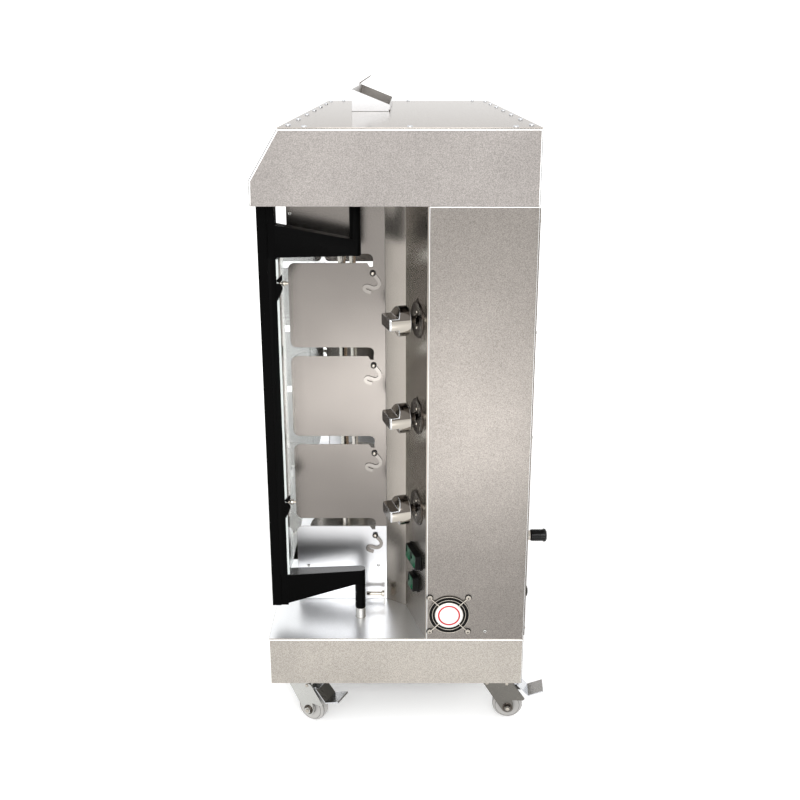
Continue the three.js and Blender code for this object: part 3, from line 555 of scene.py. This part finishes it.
def add_light(name, place, size, power, target):
    """A soft box, in metres and watts, that the camera doesn't see."""
    data = bpy.data.lights.new(name, "AREA")
    data.shape = "RECTANGLE"
    data.size, data.size_y = size
    data.energy = power
    light = bpy.data.objects.new(name, data)
    light.location = place
    light.rotation_euler = (Vector(target) - Vector(place)).to_track_quat("-Z", "Y").to_euler()
    light.visible_camera = False
    bpy.context.scene.collection.objects.link(light)


def add_spot(name, place, power, cone):
    """A soft pool of light on the floor, which the sheets reflect."""
    data = bpy.data.lights.new(name, "SPOT")
    data.energy = power
    data.spot_size = math.radians(cone)
    data.spot_blend = 1.0
    data.shadow_soft_size = 0.25
    light = bpy.data.objects.new(name, data)
    light.location = place
    bpy.context.scene.collection.objects.link(light)


def add_world():
    world = bpy.data.worlds.new("studio")
    world.use_nodes = True
    bpy.context.scene.world = world
    background = world.node_tree.nodes["Background"]
    background.inputs["Color"].default_value = (1, 1, 1, 1)
    background.inputs["Strength"].default_value = 1.3


def add_floor():
    bm = bmesh.new()
    bmesh.ops.create_grid(bm, x_segments=8, y_segments=8, size=40.0)
    mesh = bpy.data.meshes.new("floor")
    bm.to_mesh(mesh)
    bm.free()
    floor = bpy.data.objects.new("floor", mesh)
    floor.location.z = cad_low.z
    bpy.context.scene.collection.objects.link(floor)
    material, nodes, links, shader = new_material("floor_pale")
    shader.inputs["Roughness"].default_value = 0.9
    shader.inputs["Specular IOR Level"].default_value = 0.0
    patches = noise(nodes, links, 0.7, 2.0)
    links.new(ramp(nodes, links, patches, grey(0.925), grey(0.935)), shader.inputs["Base Color"])
    shader.inputs["Emission Color"].default_value = (1, 1, 1, 1)
    shader.inputs["Emission Strength"].default_value = 0.22
    mesh.materials.append(material)


bpy.context.scene.view_settings.view_transform = "Standard"
add_camera()
add_world()
add_floor()
# soft boxes: place, size, power and target; pools: place, power and cone in degrees
add_light("front_box", (0, -6.2, 1.1), (5.0, 1.6), 8, (0, 0, 1.1))
add_light("upper_box", (0, -3.7, 2.35), (2.6, 1.3), 55, (0, -0.4, 0.35))
add_spot("pool", (0.1, -2.3, 3.2), 1500, 32)
add_spot("back_pool", (0.1, 2.05, 3.2), 300, 38)


# ---------------------------------------------------------------- plinth, housing and hood
def level_top(face):
    """The deck's top is a near-white copy of the steel, painted light from above; the door collars that
    stand on it are greyer.
    """
    if face.calc_center_median().z > DECK + 0.1 * MM:
        return THIRD
    return SECOND if face.normal.z > 0.7 else FIRST


def stub_below(face):
    """The door stubs hang below the hood's floor."""
    return SECOND if face.calc_center_median().z < HOOD - 0.2 * MM else FIRST


flue_low, flue_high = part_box("flue_collar")
TAB_REACH = 21 * MM
FLUE_WALL = 4 * MM


def flue_part(face):
    """Bent tab drawn dark as painted shade, near and rear outer walls bright as a painted highlight, and the
    inside darker as painted shade.
    """
    middle = face.calc_center_median()
    if middle.z > flue_high.z - TAB_REACH:
        return THIRD
    near = face.normal.y < -0.9 and middle.y < flue_low.y + FLUE_WALL
    rear = face.normal.x > 0.9 and middle.x > flue_high.x - FLUE_WALL
    return SECOND if near or rear else FIRST


LEAF_SPLIT = DECK + 163 * MM


def split_lowest_leaf(bm):
    """Cuts the faces of a shield where its lowest leaf starts, which is drawn much lighter as painted light.
    """
    geometry = list(bm.verts) + list(bm.edges) + list(bm.faces)
    bmesh.ops.bisect_plane(bm, geom=geometry, dist=1e-7, plane_co=(0, 0, LEAF_SPLIT), plane_no=Z_AXIS)


# painted light: the lowest leaf gets a much lighter copy of the shield's steel
def lowest_leaf(face):
    return SECOND if face.calc_center_median().z < LEAF_SPLIT else FIRST


BORDER = 3.6 * MM
END_AREA = 0.01


def hood_painted_border_highlight(bm):
    """Paints a near-white border along the edges of the hood's end faces, a painted highlight of their fold.
    """
    ends = [face for face in bm.faces if abs(face.normal.y) > 0.99 and face.calc_area() > END_AREA]
    border = bmesh.ops.inset_individual(bm, faces=ends, thickness=BORDER, depth=0)["faces"]
    for face in border:
        if face.calc_center_median().z > HOOD + 4 * MM:
            face.material_index = SECOND


def rim_painted_light(face):
    """The rounded upright edges are painted dark as shade seen from outside, the level ones bright as a
    painted highlight.
    """
    return THIRD if abs(face.normal.x) > 0.45 and face.normal.z < 0.75 else SECOND


def back_rim_painted_light(face):
    """The rounded back edges are painted dark as shade seen from outside, the others bright as a painted
    highlight.
    """
    return THIRD if face.normal.x > 0.45 else SECOND


dress("base_skirt", ["base", "rim", "outline"], wide=1.6, rim=back_rim_painted_light)
dress("base_deck", ["base", "deck", "stub"], 0.6, 3, level_top)
dress("hood_shell", ["hood", "rim", "outline"], wide=1.8, reshape=hood_painted_border_highlight, rim=rim_painted_light)
dress("top_plate", ["roof"], 0.5, 3)
dress("hood_floor", ["flat_grain", "stub"], 0.4, 2, stub_below)
dress("flue_collar", ["flue_inside", "flue", "tab"], 0.3, 2, flue_part)
dress("back_panel", ["upright_grain"], 0.5)
dress("burner_wall", ["polished"], 0.3)
dress("drip_drawer", ["flat_grain"], 0.4)
dress("under_frame", ["zinc"], 0.6)
for side in SIDES:
    dress(f"side_panel_{side}", ["upright_grain", "rim", "outline"], wide=1.4, rim=back_rim_painted_light)
    dress(f"control_panel_{side}", ["panel"], 0.4)
    dress(f"side_shield_{side}", ["shield", "mirror"], 0.4, 2, lowest_leaf, reshape=split_lowest_leaf)


# millimetres: roof screws by X from the middle and Y, back screws by Y and height above the deck
ROOF_PITCH = 158
ROOF_SCREWS = [(x, y) for x in (-147, 25, 197) for y in (-518, 518)]
ROOF_SCREWS += [(x, (row - 3) * ROOF_PITCH) for row in range(7) for x in (-178, 228)]
BACK_SCREWS = [(y, above) for y in (-515, -257, 0, 257, 515) for above in (14, 790)]
BACK_SCREWS += [(y, above) for y in (-515, 515) for above in (208, 402, 596)]
BACK_FACE = BACK + 2.3 * MM


def add_roof_screws():
    """Three screws along each end of the top plate and seven along each long edge."""
    bm = bmesh.new()
    for x, y in ROOF_SCREWS:
        pan_screw(bm, facing(Vector((MID_X + x * MM, y * MM, TOP)), Z_AXIS, X_AXIS), 4.6, 3.0)
    make("top_plate_screws", bm, ["zinc_bright", "dark_chrome"], CABINET)


def add_back_screws():
    """Screws round the rim of the back panel."""
    bm = bmesh.new()
    for y, above in BACK_SCREWS:
        pan_screw(bm, facing(Vector((BACK_FACE, y * MM, DECK + above * MM)), X_AXIS))
    make("back_panel_screws", bm, ["zinc", "gloss_black"], CABINET)


# ---------------------------------------------------------------- shields in the side niches
# millimetres: inset from the side face, X from the middle, height above the deck
SHIELD_INSET = 137
SHIELD_RIVETS = ((-176, 76), (-36, 76), (-190, 784))
SHIELD_CLIP_X = -42
SHIELD_CLIPS = (674, 497, 319, 143.5)
ROD_INSET = 120
ROD_ABOVE = 23
CLIP_PATH = (
    (0, 0), (5, -6), (10, -12.5), (12, -19), (9, -25), (2, -27.5),
    (-6, -25), (-12, -24), (-15.5, -27), (-14, -32), (-9, -34.5), (-3.5, -36),
)


def smooth_path(path, steps=4):
    """Points of a Catmull-Rom curve through the path."""
    points = [Vector(point) for point in path]
    points = [points[0]] + points + [points[-1]]
    curve = []
    for i in range(1, len(points) - 2):
        a, b, c, d = points[i - 1 : i + 3]
        for step in range(steps):
            t = step / steps
            square = (2 * a - 5 * b + 4 * c - d) * t**2
            cube = (3 * b - a - 3 * c + d) * t**3
            curve.append(0.5 * (2 * b + (c - a) * t + square + cube))
    return curve + [points[-2]]


def add_shield_fittings(side):
    """Rivets, round-head screws with S-shaped clips, and the small rod at the foot of a shield."""
    rivets = bmesh.new()
    for x, above in SHIELD_RIVETS:
        rivet(rivets, side_face(x, side, SHIELD_INSET, above), 3.2, 1.6)
    make(f"shield_rivets_{side}", rivets, "zinc", CABINET)
    clips = bmesh.new()
    screws = bmesh.new()
    mirror = -SIDES[side]
    for above in SHIELD_CLIPS:
        place = side_face(SHIELD_CLIP_X, side, SHIELD_INSET, above)
        path = [(mirror * point.x, point.y) for point in smooth_path(CLIP_PATH)]
        ribbon(clips, path, 6.4, 0.8, 2.2, place)
        lathe(clips, [(4.0, 0), (4.0, 2.4)], place, 20)
        lathe(screws, [(5.6, 2.4), (5.6, 3.2), (3.2, 3.4), (3.2, 2.4)], place, 24, True)
        rivet(screws, place @ Matrix.Translation((0, 0, 3.3 * MM)), 4.0, 2.8, 1)
    finishes_and_painted_light = ["clip", "dark_chrome"]
    # painted shade: the clips' broken edges are drawn in dark chrome
    make(f"shield_clips_{side}", clips, finishes_and_painted_light, CABINET, (), 0.5, 2, SECOND)
    make(f"shield_screws_{side}", screws, ["gloss_black", "chrome"], CABINET)
    rods = bmesh.new()
    start, end = spot(-60, side, ROD_INSET, ROD_ABOVE), spot(-25, side, ROD_INSET, ROD_ABOVE)
    rod(rods, start, end, 4, 16)
    along = (end - start).normalized()
    collar = facing(end - along * 5 * MM, along, Z_AXIS)
    lathe(rods, [(4.2, 0), (6.5, 0.5), (6.5, 5.5), (4.2, 6)], collar, 20)
    plate(rods, rounded(12, 30, 3), -1.2, 0, collar @ Matrix.Translation((0, -7 * MM, 6 * MM)))
    make(f"shield_rod_{side}", rods, "chrome", CABINET, (), 0.2)


# ---------------------------------------------------------------- doors
# a weld bead's profile: parts of its radius out and up
BEAD = ((0.3, -0.95), (0.85, -0.5), (1, 0), (0.85, 0.5), (0.3, 0.95))


def weld_bead(bm, start, end, radius):
    """A row of overlapping beads."""
    count = max(2, round((end - start).length / (radius * 1.1 * MM)))
    for i in range(count + 1):
        profile = [(radius * f, radius * h) for f, h in BEAD]
        lathe(bm, profile, Matrix.Translation(start.lerp(end, i / count)), 10)


LOW_ARM = DECK + 200 * MM
# millimetres, as for the shields
GLASS_CLIPS = (674, 256)
CLIP_INSET = 49.2
BOLT_INSET = 54.5
WELD_X = -220
WELD_INSET = 49.6
WELDS = ((720, 778), (43, 103))


def arm_top(face):
    """The lower arm's upper face, which gets a painted sheen."""
    low = face.calc_center_median().z < LOW_ARM
    return SECOND if low and face.normal.z > 0.6 else FIRST


def glass_rim(face):
    return SECOND if abs(face.normal.x) < 0.9 else FIRST


FLAP = ((0, 5), (1, 7), (10.2, 17), (11.3, 16), (11, 6.5), (8, 4.5), (5.8, 2))
LEAF = ((0, 1.5), (7.5, 0.5), (10.8, -4), (11.3, -8), (8.6, -16), (2, -29), (0, -30))


def add_door(side):
    door = f"door_{side}"
    dress(f"door_frame_{side}", ["black", "black_painted_sheen"], 1.8, 3, arm_top)
    dress(f"door_glass_{side}", ["glass", "glass_edge"], 0.6, 2, glass_rim)
    clips, nuts = bmesh.new(), bmesh.new()
    mirror = -SIDES[side]
    for above in GLASS_CLIPS:
        corner = side_face(-207, side, CLIP_INSET, above)
        for outline in (FLAP, LEAF):
            plate(clips, [(mirror * x, y) for x, y in outline], 0, 1.6, corner)
        start, end = spot(-207.4, side, BOLT_INSET, above), spot(-186, side, BOLT_INSET, above)
        rod(nuts, start, end, 2.4, 12)
        hex_nut(nuts, facing(spot(-197, side, BOLT_INSET, above), X_AXIS), 8.4, 6.5)
        lathe(nuts, [(6.2, 0), (6.2, 1.4)], facing(spot(-200.6, side, BOLT_INSET, above), X_AXIS), 20)
    make(f"glass_clips_{side}", clips, "black", door, (), 0.3)
    make(f"glass_clip_nuts_{side}", nuts, "chrome", door, (), 0.3)
    beads = bmesh.new()
    for low, high in WELDS:
        weld_bead(beads, spot(WELD_X, side, WELD_INSET, low), spot(WELD_X, side, WELD_INSET, high), 1.3)
    make(f"door_welds_{side}", beads, "black", door)


# ---------------------------------------------------------------- controls
GRIP_END = 50 * MM
BEZEL = ((8.2, 0.2), (33, 0.2), (33, 1.2), (32.2, 2.0), (29.5, 2.2), (28.5, 1.7), (10, 1.7), (8.2, 2.2))
BEZEL_TAB = ((-7, 31.5), (7, 31.5), (1.6, 38), (-1.6, 38))


def knob_frame(side, level):
    joint = joints[f"knob_{side}_{level}_turn"]
    return facing(Vector(joint["pos_m"]), joint["axis"])


def add_knob(side, level):
    place = knob_frame(side, level)
    outward = place.to_3x3() @ Z_AXIS

    def knob_shade(face):
        """Dark on the grip's end, and a painted dark reflection of the hood on the faces that look up at it.
        """
        height = (place.inverted() @ face.calc_center_median()).z
        if face.normal.dot(outward) > 0.95 and height > GRIP_END:
            return SECOND
        return THIRD if face.normal.z > 0.35 else FIRST

    finishes_and_painted_light = ["chrome", "dark_chrome", "chrome_painted_dark_reflection", "zinc_bright"]
    # painted highlight: the knob's broken edges are drawn in bright zinc
    dress(f"knob_{side}_{level}", finishes_and_painted_light, 0.9, 3, knob_shade, edge=FOURTH)
    bezel = bmesh.new()
    lathe(bezel, BEZEL, place, 48, True)
    plate(bezel, BEZEL_TAB, 0.3, 1.1, place)
    for lift in (-14, 14):
        pan_screw(bezel, place @ Matrix.Translation((0, lift * MM, 1.7 * MM)), 3.0, 1.8, 1, 2)
    plated = ["dark_chrome", "chrome", "gloss_black"]
    make(f"knob_bezel_{side}_{level}", bezel, plated, CABINET)


# height above the deck, width and rockers of each bezel
SWITCHES = {
    "switch_bezel_double": (145.5, 62, ("rocker_1", "rocker_2")),
    "switch_bezel_single": (92, 33, ("rocker_3",)),
}
SWITCH_H = 31
# the slanted panel's run along X and along Y, and the middle of the switches on it
PANEL_RUN = (114, 36.5)
SWITCH_X = 38.35
SWITCH_INSET = 52
# low edge, growth of the outline and corner radius of each ridge
RIDGES = ((0.3, 0.0, 4.0), (4.6, -1.6, 3.4), (7.4, -2.0, 3.2), (10.2, -2.4, 3.0))
# how much narrower and lower the well is than its bezel
WELL = 6.2


def add_switches():
    """Bezels with stepped ridges round each well, and green rockers."""
    tilt = math.atan2(PANEL_RUN[1], PANEL_RUN[0])
    outward = (-math.cos(tilt), -math.sin(tilt), 0)
    for node, (above, width, rockers) in SWITCHES.items():
        dress(node, ["plastic"], 0.5)
        place = facing(spot(SWITCH_X, "right", SWITCH_INSET, above), outward)
        ridges = bmesh.new()
        for low, grow, radius in RIDGES:
            outer = rounded(width + grow, SWITCH_H + grow, radius)
            inner = rounded(width - WELL, SWITCH_H - WELL, 1.5)
            hoop(ridges, outer, inner, low, low + (3.2 if low < 1 else 1.8), place)
        make(f"{node}_ridges", ridges, "gloss_black", CABINET, (), 0.5)
        for rocker in rockers:
            dress(rocker, ["green"], 0.9, 3)


# ---------------------------------------------------------------- fan
GUARD_LIFT = Vector((0, 0, 2.6 * MM))
# millimetres from the fan's middle
GUARD_RINGS = (31, 37.6)
EYE_REACH = 50.55
HUB_REACH = 24
SCREW_REACH = 35.75


def add_fan():
    """The fan behind the side panel, its wire guard with the badge, and the screw beside it."""
    low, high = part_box("fan_guard")
    centre = (low + high) / 2
    place = facing(Vector((centre.x, -HALF_W, centre.z)), (0, -1, 0))
    dress("fan_frame", ["plastic"], 0.5)
    dress("fan_rotor", ["plastic"], 0.25)
    back = bmesh.new()
    lathe(back, [(26, 0.9), (38.4, 0.9), (38.4, 1.5), (26, 1.5)], place, 64, True)
    make("fan_guard_back", back, "plastic", CABINET)
    guard = bmesh.new()
    for radius in GUARD_RINGS:
        ring(guard, radius, 0.9, place @ Matrix.Translation(GUARD_LIFT))
    for quarter in range(4):
        angle = math.radians(45 + 90 * quarter)
        outward = Vector((math.cos(angle), math.sin(angle), 0))
        corner = outward * EYE_REACH * MM
        inner = outward * HUB_REACH * MM
        rod(guard, place @ (inner + GUARD_LIFT), place @ (corner * 0.93 + GUARD_LIFT), 1.1, 10)
        ring(guard, 4.0, 1.1, place @ Matrix.Translation(corner + GUARD_LIFT), 24)
    make("fan_guard_wires", guard, "chrome", CABINET, ["fan_guard"])
    badge = bmesh.new()
    lathe(badge, [(25.4, 1.6), (26.5, 1.9), (26.5, 3.4), (25.4, 3.8)], place, 64, False, 2)
    lathe(badge, [(25.2, 3.7), (25.2, 4.1), (24.8, 4.2)], place, 64, False, 0)
    hoop(badge, circle(20.8, 64), circle(17.8, 64), 4.15, 4.3, place, 1)
    make("fan_badge", badge, ["badge", "badge_red", "chrome"], CABINET)
    screws = bmesh.new()
    for sx in (-1, 1):
        for sy in (-1, 1):
            corner = place @ Matrix.Translation((sx * SCREW_REACH * MM, sy * SCREW_REACH * MM, 0.2 * MM))
            lathe(screws, [(6.2, 0), (6.2, 0.9), (5.6, 1.3)], corner, 28, False, 1)
            pan_screw(screws, corner @ Matrix.Translation((0, 0, 1.2 * MM)), 4.2, 3.4, 0, 1)
    make("fan_screws", screws, ["chrome", "gloss_black"], CABINET)
    lone = bmesh.new()
    pan_screw(lone, side_face(167, "right", 0, 17), 3.4, 2.2)
    make("side_panel_screw", lone, ["zinc", "gloss_black"], CABINET)


# ---------------------------------------------------------------- back fittings
CAP_RIBS = (5.5, 9.5, 13.5, 17.5)


def add_back_fittings():
    """Gas line, inlet with nut and ribbed cap, and cable gland."""
    dress("gas_manifold", ["brass"], 0.3)
    dress("gas_inlet", ["chrome"], 0.4)
    dress("gas_inlet_cap", ["gloss_black"], 0.5, 3)
    dress("cable_gland", ["plastic"], 0.5)
    low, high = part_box("gas_inlet")
    centre = Vector((0, (low.y + high.y) / 2, (low.z + high.z) / 2))
    nut = bmesh.new()
    place = facing(Vector((BACK + 2.4 * MM, centre.y, centre.z)), X_AXIS)
    hex_nut(nut, place, 25, 4.2, 9.2)
    make("gas_inlet_nut", nut, "zinc", CABINET, (), 0.3)
    grip = bmesh.new()
    cap_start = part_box("gas_inlet_cap")[0].x
    cap = facing(Vector((cap_start, centre.y, centre.z)), X_AXIS)
    for height in CAP_RIBS:
        ring(grip, 10.7, 0.7, cap @ Matrix.Translation((0, 0, height * MM)), 32)
    make("gas_inlet_cap_ribs", grip, "gloss_black", CABINET)
    low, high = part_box("cable_gland")
    gland = facing(Vector((BACK + 2.6 * MM, (low.y + high.y) / 2, (low.z + high.z) / 2)), X_AXIS)
    ribs = bmesh.new()
    hex_nut(ribs, gland, 23, 3.0, 9.8)
    lathe(ribs, [(5.6, 8.2), (5.6, 8.7), (4.4, 8.7), (4.4, 8.2)], gland, 24, True)
    make("cable_gland_nut", ribs, "plastic", CABINET, (), 0.3)


# ---------------------------------------------------------------- chamber
def add_burners():
    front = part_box("burner_right_top")[0].x

    def plaque(face):
        """The ceramic lies behind the front of the burner's frame."""
        flat = face.normal.x < -0.9
        return SECOND if flat and face.calc_center_median().x > front + 2 * MM else FIRST

    for side in SIDES:
        for level in LEVELS:
            dress(f"burner_{side}_{level}", ["burner", "plaque"], 0.8, 2, plaque)


MOTOR_SCREW_IN = 7 * MM
MOTOR_SCREW_UP = 38 * MM


def add_spits():
    """Spits, and their motors with four screws each."""
    for side in SIDES:
        dress(f"spit_{side}", ["polished"], 0.4)
        dress(f"spit_motor_{side}", ["cast"], 1.2, 3)
        low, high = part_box(f"spit_motor_{side}")
        screws = bmesh.new()
        for x in (low.x + MOTOR_SCREW_IN, high.x - MOTOR_SCREW_IN):
            for y in (low.y + MOTOR_SCREW_IN, high.y - MOTOR_SCREW_IN):
                pan_screw(screws, facing(Vector((x, y, low.z + MOTOR_SCREW_UP)), Z_AXIS, X_AXIS), 3.2, 2.2)
        make(f"spit_motor_screws_{side}", screws, ["zinc", "gloss_black"], CABINET)


# ---------------------------------------------------------------- casters
# old and new corners of the cheeks' rear spur: ahead of the kingpin and above the floor
SPUR = (((34, 38), (29.5, 45.5)), ((57, 36), (50.5, 45.5)), ((61, 42), (53.5, 49.5)))
# painted shade on the back right caster's cheeks, and on the pedal faces of the other casters
CHEEK_PAINTED_SHADE = {"back_right": "zinc_dark"}
TREAD_PAINTED_LIGHT = {"back_right": "zinc_bright"}
SPUR_WITHIN = 0.3
# millimetres ahead of the kingpin, above the floor and out from the middle
FORK_RIVETS = (-20, 18)
RIVETS_ABOVE = 82
CHEEK_OUT = 18


def add_caster(corner):
    """A caster, which may point any way: ahead runs from its kingpin to its hub."""
    swivel = joints[f"caster_swivel_{corner}"]
    roll = joints[f"caster_roll_{corner}"]
    axle = Vector(roll["axis"]).normalized()
    if axle.y > 0:
        axle = -axle
    ahead = axle.cross(Z_AXIS)
    if (Vector(roll["pos_m"]) - Vector(swivel["pos_m"])).dot(ahead) < 0:
        ahead = -ahead
    hub = Vector(roll["pos_m"])
    kingpin = Vector((swivel["pos_m"][0], swivel["pos_m"][1], 0))
    fork = f"caster_fork_{corner}"

    def lift_spur(bm):
        """Raises the cheeks' rear spur clear of the wheel's face."""
        for vert in bm.verts:
            reach = vert.co - kingpin
            here = Vector((reach.dot(ahead), reach.z)) / MM
            for old, new in SPUR:
                if (here - Vector(old)).length < SPUR_WITHIN:
                    vert.co += (ahead * (new[0] - old[0]) + Z_AXIS * (new[1] - old[1])) * MM

    def tread(face):
        """The pedal's face, which looks up and ahead; it is painted dark as shade on all but the back right
        caster.
        """
        return SECOND if face.normal.z > 0.3 and face.normal.dot(ahead) > 0.3 else FIRST

    # the broken edges of fork, wheel and pedal are drawn dark as painted shade
    dress(fork, [CHEEK_PAINTED_SHADE.get(corner, "zinc"), "dark_chrome"], 0.7, reshape=lift_spur, edge=SECOND)
    dress(f"caster_wheel_{corner}", ["nylon", "nylon_edge_painted_shade"], 1.1, 3, edge=SECOND)
    treads = ["zinc_bright", TREAD_PAINTED_LIGHT.get(corner, "zinc_dark"), "dark_chrome"]
    dress(f"caster_brake_{corner}", treads, 0.7, 3, tread, edge=THIRD)
    bits = bmesh.new()
    for way in (-1, 1):
        side_out = axle * way
        for along in FORK_RIVETS:
            cheek = kingpin + ahead * along * MM + side_out * CHEEK_OUT * MM
            rivet(bits, facing(cheek + Z_AXIS * RIVETS_ABOVE * MM, side_out), 3.4, 2.0)
        nut = hub + side_out * CHEEK_OUT * MM
        lathe(bits, [(9.5, 0), (9.5, 1.2), (9.0, 1.6)], facing(nut, side_out), 24, False, 1)
        rivet(bits, facing(hub + side_out * 23 * MM, side_out), 4.0, 2.0)
    make(f"caster_bits_{corner}", bits, ["chrome", "dark_chrome"], fork)
    tyre = bmesh.new()
    for way in (-1, 1):
        place = facing(hub + axle * way * 10.6 * MM, axle * way)
        hoop(tyre, circle(25, 48), circle(22.5, 48), -0.5, 1.0, place)
    make(f"caster_wheel_rims_{corner}", tyre, "nylon", f"caster_wheel_{corner}", (), 0.3)


add_roof_screws()
add_back_screws()
for side in SIDES:
    add_shield_fittings(side)
    add_door(side)
    for level in LEVELS:
        add_knob(side, level)
add_switches()
add_fan()
add_back_fittings()
add_burners()
add_spits()
for corner in CORNERS:
    add_caster(corner)
